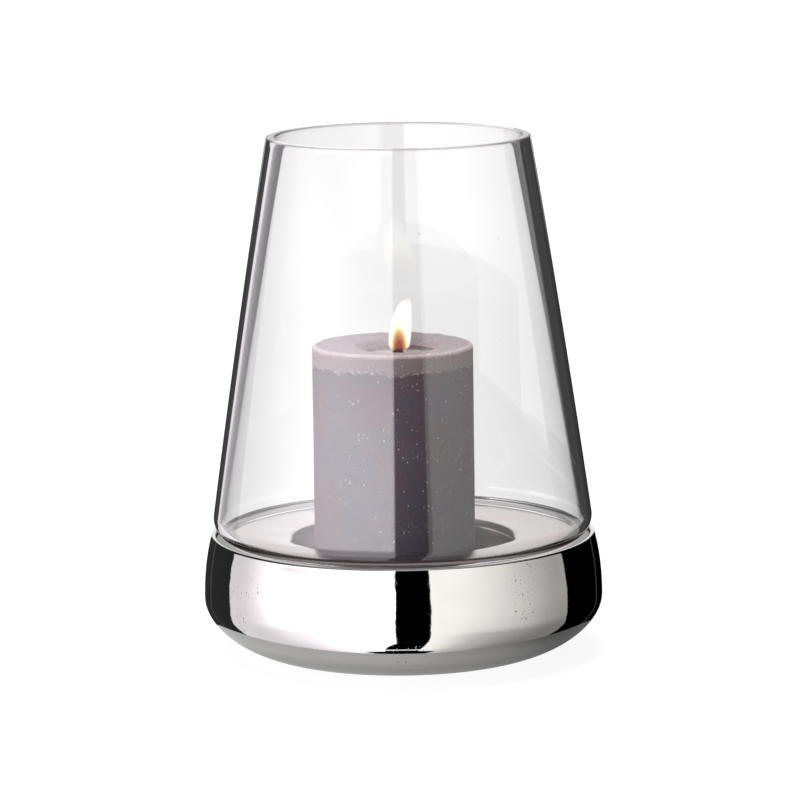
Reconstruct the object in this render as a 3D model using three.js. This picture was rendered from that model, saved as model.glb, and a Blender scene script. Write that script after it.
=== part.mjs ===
// Hurricane candle holder: a round double-walled metal base, a heavy clear glass
// shade that stands loose inside the base's rim, and a pillar candle in the
// middle of the tray. Millimetres, +Z up, the front towards -Y. The origin is
// on the table under the base's axis.

import * as THREE from 'three';

// Fits
const fitGap = 0.3;            // between a piece and the neighbour that carries it
const roundSteps = 60;         // flats round every turned piece

// Felt pads under the base
const padCount = 4;
const padRadius = 9;
const padThickness = 1.5;
const padInset = 12;           // from the foot's edge to the pads' centres

// Outer shell of the base, heights above the shell's flat underside
const footRadius = 66;
const bellyRadius = 99.5;
const bellyHeight = 26.8;
const rimMidRadius = 94.65;    // middle of the rim's wall
const rimRound = 1.2;          // the rim's top is a full round of this radius
const rimHeight = 58.6;
const shellWall = 2.4;
const ventRadius = 4;          // drain and vent hole in the middle of the underside
const footLean = 0.06;         // slope at which the flank leaves the foot
const rimLean = 0.26;          // slope at which the flank meets the rim

// Ledge inside the shell that carries the tray
const ledgeWidth = 2.6;
const ledgeDepth = 2;

// Tray with the recess for the candle
const trayWall = 2.2;
const seatHeight = 56.5;       // top of the flat ring that the glass stands on
const seatWidth = 11;
const trayFall = 0.5;          // how far the tray falls from the seat to the lip
const lipRound = 5;
const recessDepth = 23.3;      // from the seat down to the recess's floor
const recessDraft = 2;         // the recess is this much wider at its mouth
const recessRound = 6;
const candlePlay = 13;         // from the candle's side to the recess's wall

// Glass shade
const mouthWall = 4.4;         // the glass is thickest at its mouth
const heelWall = 3.3;
const shadeHeight = 200.2;
const mouthRadius = 65.25;
const heelRadius = 10.5;
const heelTurn = 74;           // degrees that the heel turns under to its cut edge
const shadeOverhang = 0.95;    // the shade's widest ring stands this far out over the rim's inner face
const shadeBulge = 0.6;        // how far the tapered side stands out of a straight line
const polishChamfer = 0.7;

// Pillar candle
const candleRadius = 40;
const candleHeight = 120;
const candleShift = -4;        // it stands this far off the axis along X
const shoulderRound = 2.2;
const topFall = 0.8;           // the top falls this much towards the melted hollow
const poolRadius = 23;
const poolDepth = 4.2;
const poolRound = 3;

// Wick and the tin disc that holds its lower end
const wickRadius = 1.2;
const wickRise = 2.2;          // how far the burnt end stands over the hollow's floor
const wickCurl = 4.6;          // how far the burnt end leans along X
const wickBend = 1.9;          // how high the bend's handle stands: a lower one bends it sharper
const wickSides = 8;
const wickSteps = 44;
const discRadius = 9;
const discThickness = 0.5;
const neckWall = 0.7;
const neckHeight = 3;

const finishes = {
  plate: { color: 0xd2d0cf, roughness: 0.06, metalness: 1 },
  felt: { color: 0x2b2a2c, roughness: 0.95, metalness: 0 },
  glass: { color: 0xeef1f0, roughness: 0.02, metalness: 0, transparent: true, opacity: 0.3 },
  wax: { color: 0xa698a2, roughness: 0.6, metalness: 0 },
  char: { color: 0x1b1716, roughness: 0.9, metalness: 0 },
  tin: { color: 0xb4b4b2, roughness: 0.35, metalness: 1 },
};

const point = (r, z) => new THREE.Vector2(r, z);

function named(name, geometry, finish) {
  const mesh = new THREE.Mesh(geometry, new THREE.MeshStandardMaterial(finishes[finish]));
  mesh.name = name;
  return mesh;
}

// Turns a closed outline of radius and height round the Z axis. The outline
// runs up the piece's outside and down its inside.
function turned(outline, steps = roundSteps) {
  const geometry = new THREE.LatheGeometry([...outline, outline[0].clone()], steps);
  return geometry.rotateX(Math.PI / 2);
}

// Rounds one corner of an outline with a circular arc of the given radius.
function corner(before, at, after, radius, steps = 4) {
  const toBefore = before.clone().sub(at).normalize();
  const toAfter = after.clone().sub(at).normalize();
  const half = Math.acos(THREE.MathUtils.clamp(toBefore.dot(toAfter), -1, 1)) / 2;
  const start = at.clone().addScaledVector(toBefore, radius / Math.tan(half));
  const middle = toBefore.clone().add(toAfter).normalize();
  const centre = at.clone().addScaledVector(middle, radius / Math.sin(half));
  const from = start.clone().sub(centre);
  const turn = Math.sign(toBefore.cross(toAfter)) * (2 * half - Math.PI);
  return Array.from({ length: steps + 1 }, (_, i) =>
    from.clone().rotateAround(point(0, 0), (turn * i) / steps).add(centre));
}

// Moves each point of an open outline sideways, to the left of its direction.
function offset(outline, distance) {
  return outline.map((at, i) => {
    const along = outline[Math.min(i + 1, outline.length - 1)].clone()
      .sub(outline[Math.max(i - 1, 0)]).normalize();
    return at.clone().add(point(-along.y, along.x).multiplyScalar(distance));
  });
}

// The base's visible flank: out from the foot to the belly, then in to the rim.
function flank() {
  const foot = point(footRadius, 0);
  const belly = point(bellyRadius, bellyHeight);
  const rim = point(rimMidRadius + rimRound, rimHeight - rimRound);
  const rise = bellyHeight / 2;
  const lower = new THREE.CubicBezierCurve(foot,
    point(footRadius + rise, rise * footLean), point(bellyRadius, rise), belly);
  const upperThird = (rim.y - bellyHeight) / 3;
  const upper = new THREE.CubicBezierCurve(belly,
    point(bellyRadius, bellyHeight + upperThird), point(rim.x + upperThird * rimLean, rim.y - upperThird), rim);
  return [...lower.getPoints(8), ...upper.getPoints(5).slice(1)];
}

const rimInner = rimMidRadius - rimRound;
const rimCentreHeight = rimHeight - rimRound;
const ledgeHeight = seatHeight - trayWall - fitGap;

function baseShell() {
  const outside = flank();
  const roundTop = Array.from({ length: 3 }, (_, i) => {
    const angle = (Math.PI * (i + 1)) / 4;
    return point(rimMidRadius + rimRound * Math.cos(angle), rimCentreHeight + rimRound * Math.sin(angle));
  });
  const ledge = [
    point(rimInner, rimCentreHeight),
    point(rimInner, ledgeHeight),
    point(rimInner - ledgeWidth, ledgeHeight),
    point(rimInner - ledgeWidth, ledgeHeight - ledgeDepth),
  ];
  const underLedge = ledgeHeight - ledgeDepth - ledgeWidth;
  const inside = offset(outside, shellWall).filter((at) => at.y > shellWall && at.y < underLedge).reverse();
  return turned([point(ventRadius, 0), ...outside, ...roundTop, ...ledge, ...inside,
    point(footRadius - shellWall, shellWall), point(ventRadius, shellWall)]);
}

function feltPads() {
  return Array.from({ length: padCount }, (_, i) => {
    const angle = (2 * Math.PI * (i + 0.5)) / padCount;
    const geometry = new THREE.CylinderGeometry(padRadius, padRadius, padThickness, 24).rotateX(Math.PI / 2);
    const pad = named(`felt_pad_${i + 1}`, geometry, 'felt');
    const reach = footRadius - padInset;
    pad.position.set(reach * Math.cos(angle), reach * Math.sin(angle), -padThickness / 2);
    return pad;
  });
}

const recessFloorRadius = candleRadius + candlePlay;
const recessFloorHeight = seatHeight - recessDepth;

// The tray's upper face from the edge under the rim in to the axis.
function trayFace() {
  const edge = point(rimInner - fitGap, seatHeight);
  const seatEnd = point(edge.x - seatWidth, seatHeight);
  const lip = point(recessFloorRadius + recessDraft, seatHeight - trayFall);
  const foot = point(recessFloorRadius, recessFloorHeight);
  const middle = point(0, recessFloorHeight);
  return [edge, seatEnd, ...corner(seatEnd, lip, foot, lipRound, 5),
    ...corner(lip, foot, middle, recessRound, 4), middle];
}

// The same outline one wall lower, with the bends' radii changed by the wall.
function trayUnderside() {
  const edge = point(rimInner - fitGap, seatHeight - trayWall);
  const seatEnd = point(edge.x - seatWidth, edge.y);
  const lip = point(recessFloorRadius + recessDraft + trayWall, edge.y - trayFall);
  const foot = point(recessFloorRadius + trayWall, recessFloorHeight - trayWall);
  const middle = point(0, foot.y);
  return [edge, seatEnd, ...corner(seatEnd, lip, foot, lipRound - trayWall, 3),
    ...corner(lip, foot, middle, recessRound + trayWall, 4), middle];
}

function tray() {
  return turned([...trayUnderside().reverse(), ...trayFace()]);
}

// One face of the shade's wall in its own frame, bottom edge at height 0, a given
// depth inside the outer face at the heel and at the mouth. Both faces' heels
// are arcs about the same centre.
function shadeSide(heelTaken, mouthTaken) {
  const lowest = -THREE.MathUtils.degToRad(heelTurn);
  const heelCentre = point(rimInner + shadeOverhang - heelRadius, -heelRadius * Math.sin(lowest));
  const radius = heelRadius - heelTaken;
  const mouth = point(mouthRadius - mouthTaken, shadeHeight);
  const taper = Math.atan2(heelCentre.x + radius - mouth.x, shadeHeight - heelCentre.y);
  const heel = Array.from({ length: 7 }, (_, i) => {
    const angle = lowest + ((taper - lowest) * i) / 6;
    return point(heelCentre.x + radius * Math.cos(angle), heelCentre.y + radius * Math.sin(angle));
  });
  const start = heel.at(-1);
  const outwards = point(shadeHeight - start.y, start.x - mouth.x).normalize();
  const bow = start.clone().lerp(mouth, 0.5).addScaledVector(outwards, 2 * shadeBulge);
  const side = new THREE.QuadraticBezierCurve(start, bow, mouth).getPoints(4).slice(1);
  return [...heel, ...side];
}

function glassShade() {
  const outside = shadeSide(0, 0);
  const inside = shadeSide(heelWall, mouthWall).reverse();
  const cutLip = [
    outside.pop().sub(point(0, polishChamfer)),
    point(mouthRadius - polishChamfer, shadeHeight),
    point(mouthRadius - mouthWall + polishChamfer, shadeHeight),
    inside.shift().sub(point(0, polishChamfer)),
  ];
  return turned([...outside, ...cutLip, ...inside]);
}

const poolFloorHeight = candleHeight - topFall - poolDepth;
const wickBore = wickRadius + fitGap;
const neckRadius = wickBore + neckWall;

function pillarCandle() {
  const top = point(candleRadius, candleHeight);
  const poolEdge = point(poolRadius, candleHeight - topFall);
  const poolFoot = point(poolRadius - poolDepth, poolFloorHeight);
  const bore = point(wickBore, poolFloorHeight);
  const bottom = point(candleRadius, 0);
  const discTop = 2 * fitGap + discThickness;
  const neckTop = discTop + neckHeight;
  return turned([
    point(discRadius + fitGap, 0),
    ...corner(point(discRadius, 0), bottom, top, shoulderRound / 2, 2),
    ...corner(bottom, top, poolEdge, shoulderRound, 4),
    ...corner(top, poolEdge, poolFoot, poolRound, 3),
    ...corner(poolEdge, poolFoot, bore, poolRound, 3),
    bore,
    point(wickBore, neckTop),
    point(neckRadius + fitGap, neckTop),
    point(neckRadius + fitGap, discTop),
    point(discRadius + fitGap, discTop),
  ]);
}

// A tin disc let into the candle's underside, with a short neck round the wick.
function wickDisc() {
  const low = fitGap;
  return turned([
    point(wickBore, low),
    point(discRadius, low),
    point(discRadius, low + discThickness),
    point(neckRadius, low + discThickness),
    point(neckRadius, low + neckHeight),
    point(wickBore, low + neckHeight),
  ], 32);
}

function wick() {
  const path = new THREE.CurvePath();
  path.add(new THREE.LineCurve3(new THREE.Vector3(0, 0, fitGap), new THREE.Vector3(0, 0, poolFloorHeight)));
  path.add(new THREE.QuadraticBezierCurve3(
    new THREE.Vector3(0, 0, poolFloorHeight),
    new THREE.Vector3(0, 0, poolFloorHeight + wickBend),
    new THREE.Vector3(wickCurl, 0, poolFloorHeight + wickRise)));
  const section = new THREE.Shape();
  for (let i = 0; i < wickSides; i += 1) {
    const angle = (2 * Math.PI * i) / wickSides;
    const at = [wickRadius * Math.cos(angle), wickRadius * Math.sin(angle)];
    if (i === 0) section.moveTo(...at);
    else section.lineTo(...at);
  }
  section.closePath();
  return new THREE.ExtrudeGeometry(section, { steps: wickSteps, extrudePath: path });
}

function holder() {
  const base = new THREE.Group();
  base.add(named('base_shell', baseShell(), 'plate'), named('candle_tray', tray(), 'plate'), ...feltPads());

  const shade = named('glass_shade', glassShade(), 'glass');
  shade.position.z = seatHeight + fitGap;
  base.add(shade);

  const candle = new THREE.Group();
  candle.add(named('pillar_candle', pillarCandle(), 'wax'), named('wick', wick(), 'char'),
    named('wick_disc', wickDisc(), 'tin'));
  candle.position.set(candleShift, 0, recessFloorHeight + fitGap);
  base.add(candle);

  base.position.z = padThickness;
  const whole = new THREE.Group();
  whole.add(base);
  return whole;
}

export default holder();
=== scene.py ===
"""Hurricane candle holder: a plated base, a loose glass shade and a lit pillar candle.

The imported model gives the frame. The turned pieces are made again here with
smooth faces, the flame and the melted wax are added, and every piece gets its
finish. Lengths are in metres, +Z up, the front towards -Y.
"""

import logging
import math
from collections.abc import Callable, Iterable
from dataclasses import dataclass, field
from enum import Enum

import bmesh
import bpy
from mathutils import Matrix, Vector, noise


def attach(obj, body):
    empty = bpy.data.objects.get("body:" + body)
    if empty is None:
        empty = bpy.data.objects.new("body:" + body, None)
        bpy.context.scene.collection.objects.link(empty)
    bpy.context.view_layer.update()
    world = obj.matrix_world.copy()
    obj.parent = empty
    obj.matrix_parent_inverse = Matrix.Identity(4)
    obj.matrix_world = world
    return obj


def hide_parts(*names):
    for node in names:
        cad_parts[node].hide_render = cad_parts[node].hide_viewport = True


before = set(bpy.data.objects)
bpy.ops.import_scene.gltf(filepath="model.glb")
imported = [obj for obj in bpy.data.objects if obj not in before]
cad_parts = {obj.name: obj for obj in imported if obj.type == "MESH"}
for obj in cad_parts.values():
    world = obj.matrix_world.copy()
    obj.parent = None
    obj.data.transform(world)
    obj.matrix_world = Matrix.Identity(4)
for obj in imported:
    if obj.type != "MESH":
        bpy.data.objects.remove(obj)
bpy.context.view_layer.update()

log = logging.getLogger("holder")

Colour = tuple[float, float, float, float]
Point = tuple[float, float]
Span = tuple[float, float]
Shape = bmesh.types.BMesh
Socket = bpy.types.NodeSocket

TURN_STEPS = 216
LONGEST_STEP = 0.004
SHARP_ANGLE = math.radians(40)
MERGE_WITHIN = 1e-6
EMPTY_EDGE = 1e-7
RING_WITHIN = 2e-5
CORNER_DROP = 1e-5


class Body(Enum):
    """The parts that come apart by hand."""

    BASE = "base"
    SHADE = "shade"
    CANDLE = "candle"


class Slot(Enum):
    """The record's material slots."""

    PLATE = "plated_metal"
    FELT = "pad_felt"
    GLASS = "clear_glass"
    WAX = "candle_wax"
    MELT = "melted_wax"
    WICK = "burnt_wick"
    TIN = "tinplate"
    FLAME = "flame"


def colour(red: float, green: float, blue: float) -> Colour:
    """Gives an opaque colour from its linear parts."""
    return (red, green, blue, 1.0)


class Term:
    """A number in a node tree, which Python's own operators work on."""

    def __init__(self, graph: "Graph", socket: Socket) -> None:
        """Wraps a socket.

        Args:
            graph: The tree that the socket is in.
            socket: The output that gives the number.
        """
        self.graph = graph
        self.socket = socket

    def __add__(self, other: "Term | float") -> "Term":
        """Adds."""
        return self.graph.math("ADD", self, other)

    def __radd__(self, other: float) -> "Term":
        """Adds to a plain number."""
        return self.graph.math("ADD", other, self)

    def __sub__(self, other: "Term | float") -> "Term":
        """Subtracts."""
        return self.graph.math("SUBTRACT", self, other)

    def __rsub__(self, other: float) -> "Term":
        """Subtracts from a plain number."""
        return self.graph.math("SUBTRACT", other, self)

    def __mul__(self, other: "Term | float") -> "Term":
        """Multiplies."""
        return self.graph.math("MULTIPLY", self, other)

    def __rmul__(self, other: float) -> "Term":
        """Multiplies a plain number."""
        return self.graph.math("MULTIPLY", other, self)

    def __truediv__(self, other: "Term | float") -> "Term":
        """Divides."""
        return self.graph.math("DIVIDE", self, other)

    def __neg__(self) -> "Term":
        """Changes the sign."""
        return self.graph.math("MULTIPLY", self, -1.0)

    def __abs__(self) -> "Term":
        """Drops the sign."""
        return self.graph.math("ABSOLUTE", self)


Input = Term | Socket | float | tuple


class Graph:
    """A node tree of a material or of the world."""

    MIX_FACTOR, MIX_FIRST, MIX_SECOND, MIX_RESULT = 0, 6, 7, 2

    def __init__(self, tree: bpy.types.NodeTree) -> None:
        """Takes over a tree and empties it."""
        self.tree = tree
        tree.nodes.clear()

    def node(
            self, kind: str, settings: dict | None = None,
            sockets: dict | None = None) -> bpy.types.Node:
        """Adds one node.

        Args:
            kind: The node's type.
            settings: Its properties, set before its sockets.
            sockets: Values or links by socket name or number.

        Returns:
            The new node.
        """
        made = self.tree.nodes.new(kind)
        for name, value in (settings or {}).items():
            setattr(made, name, value)
        for key, value in (sockets or {}).items():
            self.feed(made.inputs[key], value)
        return made

    def feed(self, socket: Socket, value: Input) -> None:
        """Links a term or a socket to an input, or sets the input to a constant."""
        source = value.socket if isinstance(value, Term) else value
        if isinstance(source, Socket):
            self.tree.links.new(source, socket)
        else:
            socket.default_value = source

    def math(self, operation: str, *values: "Term | float") -> Term:
        """Adds a Math node on one or two numbers."""
        made = self.node("ShaderNodeMath", {"operation": operation}, dict(enumerate(values)))
        return Term(self, made.outputs[0])

    def vector(self, operation: str, first: Input, second: Input) -> bpy.types.Node:
        """Adds a Vector Math node on two vectors."""
        return self.node("ShaderNodeVectorMath", {"operation": operation}, {0: first, 1: second})

    def length(self, first: Term, second: Term) -> Term:
        """Gives the length of a flat vector from its two parts."""
        return self.math("SQRT", first * first + second * second)

    def least(self, first: "Term | float", second: "Term | float") -> Term:
        """Gives the smaller of two numbers."""
        return self.math("MINIMUM", first, second)

    def most(self, first: "Term | float", second: "Term | float") -> Term:
        """Gives the larger of two numbers."""
        return self.math("MAXIMUM", first, second)

    def step(self, value: Term, low: float, high: float) -> Term:
        """Rises smoothly from 0 at low to 1 at high.

        Args:
            value: The number that is tested.
            low: Where the rise starts.
            high: Where it ends. Below low, the step falls from 1 to 0 instead.

        Returns:
            The step, from 0 to 1.
        """
        sockets = {"Value": value, "From Min": min(low, high), "From Max": max(low, high)}
        sockets |= {"To Min": float(low > high), "To Max": float(low < high)}
        made = self.node("ShaderNodeMapRange", {"interpolation_type": "SMOOTHSTEP"}, sockets)
        return Term(self, made.outputs["Result"])

    def ramp(self, value: Term, stops: Iterable[tuple[float, Colour]]) -> Socket:
        """Turns a number into a colour by a list of stops."""
        made = self.node("ShaderNodeValToRGB", sockets={"Fac": value})
        elements = made.color_ramp.elements
        for number, (at, shade) in enumerate(stops):
            stop = elements[number] if number < 2 else elements.new(at)
            stop.position = at
            stop.color = shade
        return made.outputs["Color"]

    def mix(self, factor: "Term | float", first: Input, second: Input) -> Socket:
        """Mixes two colours.

        Args:
            factor: 0 gives the first colour and 1 the second.
            first: A colour or its socket.
            second: A colour or its socket.

        Returns:
            The mixed colour's socket.
        """
        sockets = {self.MIX_FACTOR: factor, self.MIX_FIRST: first, self.MIX_SECOND: second}
        made = self.node("ShaderNodeMix", {"data_type": "RGBA"}, sockets)
        return made.outputs[self.MIX_RESULT]

    def place(self, move: tuple = (0, 0, 0), scale: tuple = (1, 1, 1)) -> Socket:
        """Gives the object's own coordinates, moved and then scaled."""
        source = self.node("ShaderNodeTexCoord").outputs["Object"]
        shifted = self.vector("ADD", source, move).outputs[0]
        return self.vector("MULTIPLY", shifted, scale).outputs[0]

    def parts(self, vector: Socket) -> tuple[Term, Term, Term]:
        """Splits a vector into its three numbers."""
        made = self.node("ShaderNodeSeparateXYZ", sockets={0: vector})
        return tuple(Term(self, output) for output in made.outputs)

    def clouds(self, vector: Input, scale: float, detail: float = 2.0, rough: float = 0.5) -> Term:
        """Gives soft noise from 0 to 1 at so many swings a metre."""
        sockets = {"Vector": vector, "Scale": scale, "Detail": detail, "Roughness": rough}
        return Term(self, self.node("ShaderNodeTexNoise", sockets=sockets).outputs[0])

    def specks(self, vector: Input, scale: float, share: float, size: float) -> Term:
        """Scatters dots, one in some of the cells of a grid.

        Args:
            vector: Where the dots are looked up.
            scale: Cells a metre.
            share: The share of the cells that hold a dot.
            size: The dot's radius in cells.

        Returns:
            1 in a dot, 0 outside.
        """
        sockets = {"Vector": vector, "Scale": scale, "Randomness": 1.0}
        made = self.node("ShaderNodeTexVoronoi", sockets=sockets)
        pick = self.parts(made.outputs["Color"])[0]
        chosen = self.math("LESS_THAN", pick, share)
        return self.step(Term(self, made.outputs["Distance"]), size, 0.5 * size) * chosen

    def bump(self, height: Term, depth: float, under: Input | None = None) -> Socket:
        """Turns a height from 0 to 1 into a normal, with the relief's depth in metres."""
        sockets = {"Height": height, "Strength": 1.0, "Distance": depth}
        if under is not None:
            sockets["Normal"] = under
        return self.node("ShaderNodeBump", sockets=sockets).outputs["Normal"]


@dataclass(frozen=True)
class Finish:
    """A finish that any piece can wear. A subclass gives its shader's sockets."""

    slot: Slot

    def sockets(self, graph: Graph) -> dict[str, Input]:
        """Gives the shader's inputs by name."""
        raise NotImplementedError

    def material(self) -> bpy.types.Material:
        """Makes the material."""
        made = bpy.data.materials.new(self.slot.value)
        made.use_nodes = True
        graph = Graph(made.node_tree)
        shader = graph.node("ShaderNodeBsdfPrincipled", sockets=self.sockets(graph))
        graph.node("ShaderNodeOutputMaterial", sockets={"Surface": shader.outputs[0]})
        return made


@dataclass(frozen=True)
class PlatedMetal(Finish):
    """Nickel plating on a casting, polished to a mirror, with pits where the casting is porous.

    A piece may have painted shade at its outer edge, for the shade in the gap round the glass.
    """

    slot: Slot = Slot.PLATE
    plate: Colour = colour(0.66, 0.645, 0.635)
    thin_plate: Colour = colour(0.60, 0.59, 0.585)
    pit: Colour = colour(0.10, 0.09, 0.085)
    # Painted shade at the outer edge: its dark colour, the radius where it starts and its blend.
    dark_tone: Colour = colour(0.085, 0.066, 0.062)
    gap_shade_from: float = 1.0
    gap_shade_blend: float = 0.0018
    haze: float = 0.025
    smear_haze: float = 0.035
    pit_cover: float = 0.85
    pit_haze: float = 0.35
    pit_depth: float = 0.00012
    wave_depth: float = 0.00012
    ripple_depth: float = 0.00002
    porous: tuple[tuple[Vector, float], ...] = (
        (Vector((0.063, -0.072, 0.056)), 0.010),
        (Vector((0.058, -0.079, 0.049)), 0.009),
        (Vector((0.058, -0.080, 0.036)), 0.010),
        (Vector((-0.079, -0.059, 0.038)), 0.011),
        (Vector((-0.073, -0.067, 0.046)), 0.008),
        (Vector((-0.079, -0.059, 0.026)), 0.009),
        (Vector((0.003, -0.090, 0.012)), 0.016),
        (Vector((0.052, 0.083, 0.040)), 0.014),
        (Vector((-0.095, 0.022, 0.044)), 0.011),
    )

    def porosity(self, graph: Graph, where: Socket) -> Term:
        """Gives 1 in the middle of each porous patch, falling to 0 at its edge."""
        total: Term | float = 0.0
        for middle, radius in self.porous:
            apart = Term(graph, graph.vector("DISTANCE", where, middle).outputs["Value"])
            total = total + graph.step(apart, radius, 0.3 * radius)
        return graph.least(total, 1.0)

    def sockets(self, graph: Graph) -> dict[str, Input]:
        """Gives the plating with its waviness, smears and pits."""
        where = graph.place()
        patch = self.porosity(graph, where)
        chain = graph.step(abs(graph.clouds(where, 75, 2) - 0.5), 0.06, 0.02)
        wide_pits = graph.specks(where, 560, 0.5, 0.30) * patch * chain
        fine_pits = graph.specks(where, 1100, 0.16, 0.30) * patch
        stray_pits = graph.specks(where, 300, 0.008, 0.12)
        pits = graph.least(wide_pits + fine_pits + stray_pits, 1.0)
        clouded = graph.clouds(where, 34, 3)
        smears = graph.clouds(graph.place(scale=(1, 1, 3.5)), 120, 4, 0.6)
        tone = graph.mix(graph.step(clouded, 0.3, 0.7), self.thin_plate, self.plate)
        across, depth, _ = graph.parts(where)
        # Painted shade: past a radius the plate turns dark, for the shade in the gap round the
        # glass.
        edge = graph.step(
            graph.length(across, depth), self.gap_shade_from, self.gap_shade_from + self.gap_shade_blend)
        tone = graph.mix(edge, tone, self.dark_tone)
        wave = graph.clouds(where, 42, 1.5, 0.4)
        ripple = graph.clouds(where, 230, 2, 0.5)
        worked = graph.bump(ripple, self.ripple_depth, graph.bump(wave, self.wave_depth))
        hazy = self.haze + self.smear_haze * graph.step(smears, 0.5, 0.85)
        return {
            "Base Color": graph.mix(pits * self.pit_cover, tone, self.pit),
            "Metallic": 1.0,
            "Roughness": graph.most(hazy, pits * self.pit_haze),
            "Normal": graph.bump(1.0 - pits, self.pit_depth, worked),
        }


@dataclass(frozen=True)
class ClearGlass(Finish):
    """Blown glass, clear with painted grey shade where it is seen edge on, and a few seeds in it.
    """

    slot: Slot = Slot.GLASS
    clear: Colour = colour(0.99, 0.992, 0.992)
    # Painted shade: the grey that the glass turns where it is seen edge on.
    edge: Colour = colour(0.74, 0.71, 0.74)
    seed: Colour = colour(0.35, 0.35, 0.36)
    lip: Colour = colour(0.66, 0.57, 0.60)
    lip_middle: float = 0.06305
    lip_height: float = 0.2578
    lip_haze: float = 0.3
    lip_flat: Span = (0.0008, 0.0016)
    flow_depth: float = 0.00010

    def sockets(self, graph: Graph) -> dict[str, Input]:
        """Gives the glass with painted grey shade where it is seen edge on, and a slightly matt cut
        lip.
        """
        where = graph.place()
        # Painted shade: the colour greys towards where the glass is seen edge on.
        weight = graph.node("ShaderNodeLayerWeight", sockets={"Blend": 0.5})
        facing = Term(graph, weight.outputs["Facing"])
        tone = graph.mix(graph.step(facing, 0.55, 0.98), self.clear, self.edge)
        seeds = graph.specks(where, 95, 0.035, 0.055)
        flow = graph.clouds(graph.place(scale=(1, 1, 0.4)), 26, 1.0)
        across, depth, height = graph.parts(where)
        off_middle = abs(graph.length(across, depth) - self.lip_middle)
        cut = graph.step(height, self.lip_height - 0.0003, self.lip_height + 0.0001)
        cut = cut * (0.35 + 0.65 * graph.step(off_middle, *self.lip_flat))
        return {
            "Base Color": graph.mix(cut, graph.mix(seeds, tone, self.seed), self.lip),
            "Roughness": self.lip_haze * cut,
            "IOR": 1.5,
            "Transmission Weight": 1.0,
            "Normal": graph.bump(flow, self.flow_depth),
        }


@dataclass(frozen=True)
class CandleWax(Finish):
    """Grey-mauve paraffin wax with a frosted band at the top and white crystals."""

    slot: Slot = Slot.WAX
    axis: float = 0.004
    top: float = 0.1549
    cool: Colour = colour(0.240, 0.218, 0.290)
    warm: Colour = colour(0.292, 0.205, 0.242)
    frosted: Colour = colour(0.335, 0.270, 0.295)
    rind: Colour = colour(0.70, 0.55, 0.565)
    crystal: Colour = colour(0.95, 0.90, 0.92)
    drawn: Colour = colour(0.42, 0.36, 0.39)
    band_fall: Span = (0.0108, 0.0070)
    band_cover: float = 0.85
    frost_fall: float = 0.0088
    frost_width: Span = (0.0012, 0.0003)
    rind_from: Span = (0.0372, 0.0392)
    shoulder_from: Span = (0.0372, 0.0384)
    shoulder_fall: Span = (0.0032, 0.0012)
    relief_depth: float = 0.00003

    def sockets(self, graph: Graph) -> dict[str, Input]:
        """Gives the wax with its mottling, its frost line, its flecks and its fine drawn lines."""
        where = graph.place(move=(self.axis, 0, 0))
        across, depth, height = graph.parts(where)
        radius = graph.length(across, depth)
        lines = graph.clouds(graph.place(scale=(1, 1, 14)), 90, 3, 0.6)
        mottle = graph.clouds(where, 46, 4, 0.55)
        body = graph.mix(graph.step(mottle, 0.36, 0.64), self.cool, self.warm)
        body = graph.mix(0.30 * graph.step(lines, 0.5, 0.80), body, self.drawn)
        edge = height + 0.010 * (graph.clouds(where, 90, 5, 0.7) - 0.5)
        band = graph.step(edge, self.top - self.band_fall[0], self.top - self.band_fall[1])
        frost = graph.mix(graph.step(radius, *self.rind_from), self.frosted, self.rind)
        body = graph.mix(self.band_cover * band, body, frost)
        ring = graph.step(abs(edge - (self.top - self.frost_fall)), *self.frost_width)
        crumbs = graph.step(graph.clouds(where, 760, 3, 0.65), 0.47, 0.60)
        shoulder = graph.step(radius, *self.shoulder_from) * graph.step(
            height, self.top - self.shoulder_fall[0], self.top - self.shoulder_fall[1])
        patches = graph.step(graph.clouds(where, 60, 3), 0.45, 0.62)
        coarse = graph.specks(graph.place(scale=(1, 1, 0.6)), 420, 0.40, 0.19)
        fine = graph.specks(graph.place(scale=(1, 1, 1.6)), 760, 0.38, 0.30)
        fine = fine * graph.most(patches, 0.25 + band)
        grain = 0.55 * graph.step(graph.clouds(where, 900, 2, 0.7), 0.58, 0.70) * patches
        white = graph.most(graph.most(ring * crumbs, coarse), graph.most(fine * 0.8, grain * 0.5))
        white = graph.most(white, shoulder * crumbs * 0.45)
        relief = graph.clouds(where, 700, 3, 0.6) * 0.75 + lines * 0.25
        return {
            "Base Color": graph.mix(graph.least(white, 1.0), body, self.crystal),
            "Roughness": 0.5 + 0.2 * lines,
            "Specular IOR Level": 0.25,
            "Subsurface Weight": 0.12,
            "Subsurface Radius": (0.006, 0.0035, 0.003),
            "Subsurface Scale": 1.0,
            "Normal": graph.bump(relief, self.relief_depth),
        }


@dataclass(frozen=True)
class MeltedWax(Finish):
    """Liquid wax in the hollow round the wick, wet and a little darker than the set wax."""

    slot: Slot = Slot.MELT
    deep: Colour = colour(0.070, 0.042, 0.044)
    cloudy_lit_side: Colour = colour(0.230, 0.180, 0.190)

    def sockets(self, graph: Graph) -> dict[str, Input]:
        """Gives the liquid with cloudy patches that are lighter on its left, as painted light."""
        where = graph.place()
        drift = graph.clouds(where, 110, 3, 0.5)
        # Painted light: the cloudy patches turn lighter only on the left side of the pool.
        light = graph.step(drift, 0.35, 0.7) * graph.step(graph.parts(where)[0], 0.008, -0.006)
        return {
            "Base Color": graph.mix(light, self.deep, self.cloudy_lit_side),
            "Roughness": 0.06 + 0.05 * drift,
            "Specular IOR Level": 0.2,
            "Subsurface Weight": 0.1,
            "Subsurface Radius": (0.005, 0.003, 0.003),
            "Subsurface Scale": 1.0,
            "Normal": graph.bump(graph.clouds(where, 160, 1), 0.00005),
        }


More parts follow.
